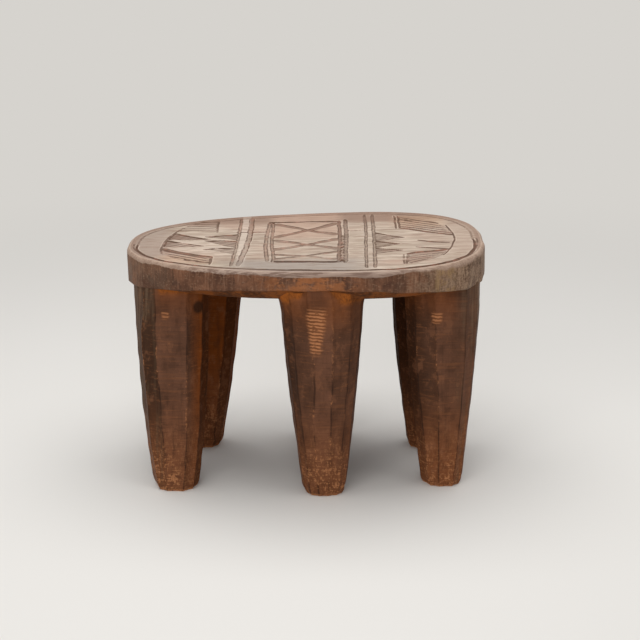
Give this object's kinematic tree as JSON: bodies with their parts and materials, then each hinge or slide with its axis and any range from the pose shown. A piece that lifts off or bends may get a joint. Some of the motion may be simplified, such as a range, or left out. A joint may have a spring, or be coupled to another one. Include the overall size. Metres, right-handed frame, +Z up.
{
  "type": "stool",
  "caption": "Low oval wooden stool with a broad carved seat, a rounded rim and stout tapering hewn legs, for sitting on or for use as a small side table.",
  "frame": {"origin": "on the floor, under the middle of the stool's box", "axes": "+Z up, +X along the seat's length towards its broader end, front towards -Y"},
  "size_m": [0.4576, 0.2949, 0.3103],
  "materials": {
    "seat_wood": "worn and dry on top, dark patina on the rim",
    "leg_wood": "dark satin patina over adze facets"
  },
  "bodies": {
    "root": {"seat": "seat_wood", "leg_front_left": "leg_wood", "leg_front_centre": "leg_wood", "leg_front_right": "leg_wood", "leg_rear_left": "leg_wood", "leg_rear_centre": "leg_wood", "leg_rear_right": "leg_wood"}
  },
  "joints": []
}
